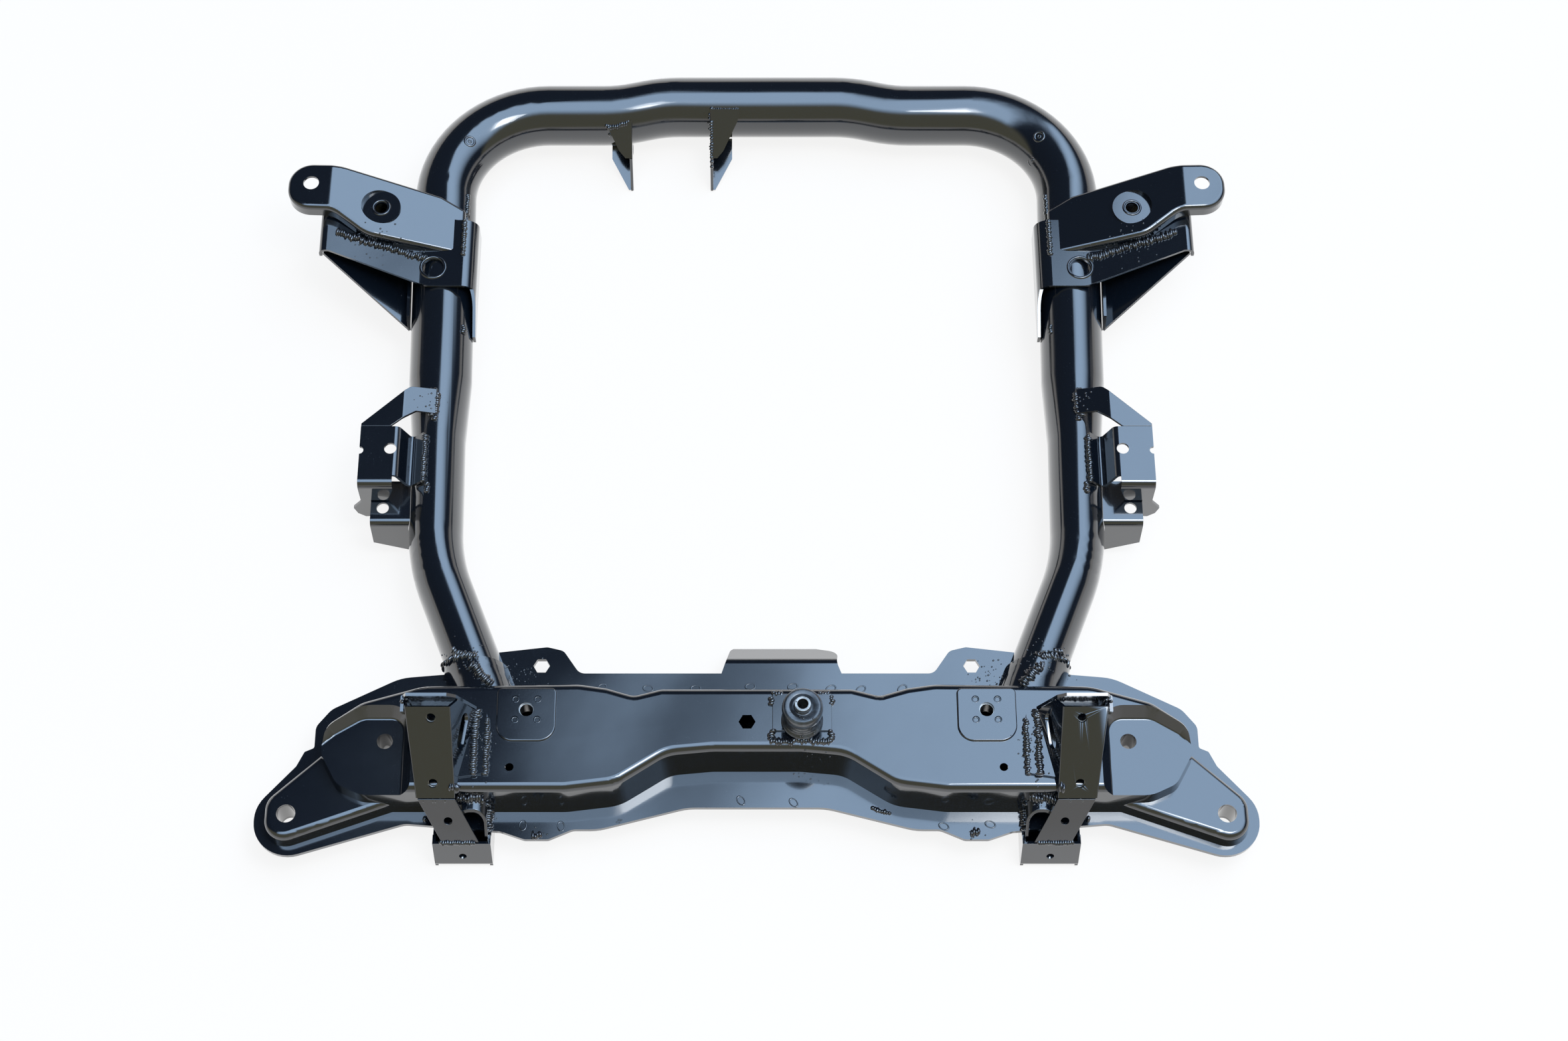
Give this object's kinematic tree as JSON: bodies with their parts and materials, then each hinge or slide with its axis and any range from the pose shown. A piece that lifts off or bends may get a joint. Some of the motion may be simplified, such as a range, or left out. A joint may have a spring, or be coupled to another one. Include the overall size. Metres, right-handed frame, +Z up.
{
  "type": "front subframe",
  "caption": "Welded car front subframe: boxed rear crossmember, bent rail tube in front, body mounts, arm brackets and anti-roll bar brackets.",
  "frame": {"origin": "bottom centre of the whole part's box", "axes": "+X across the car, +Y to the front of the car, +Z up"},
  "size_m": [0.968, 0.882, 0.1413],
  "materials": {
    "black_paint": "gloss",
    "steel": "satin",
    "rubber": "matte"
  },
  "bodies": {
    "root": {"rail_tube": "black_paint", "crossmember_upper_shell": "black_paint", "crossmember_lower_shell": "black_paint", "body_bolt_sleeves": "black_paint", "arm_bolt_sleeves": "black_paint", "rack_nut_plates": "steel", "left_front_mount_shell": "black_paint", "right_front_mount_shell": "black_paint", "left_front_mount_saddle": "black_paint", "right_front_mount_saddle": "black_paint", "left_front_mount_gusset": "black_paint", "right_front_mount_gusset": "black_paint", "left_arm_bracket": "black_paint", "right_arm_bracket": "black_paint", "left_arm_bracket_strap": "black_paint", "right_arm_bracket_strap": "black_paint", "left_arm_bracket_shelf": "black_paint", "right_arm_bracket_shelf": "black_paint", "left_roll_bar_bracket": "black_paint", "right_roll_bar_bracket": "black_paint", "left_roll_bar_brace": "black_paint", "right_roll_bar_brace": "black_paint", "left_roll_bar_strap": "black_paint", "right_roll_bar_strap": "black_paint", "left_roll_bar_foot": "black_paint", "right_roll_bar_foot": "black_paint", "left_roll_bar_arch": "black_paint", "right_roll_bar_arch": "black_paint", "roll_bar_nuts": "steel", "left_mount_cheek": "black_paint", "right_mount_cheek": "black_paint", "torque_mount_plate": "black_paint", "torque_mount_rubber": "rubber", "torque_mount_sleeve": "steel"}
  },
  "joints": []
}
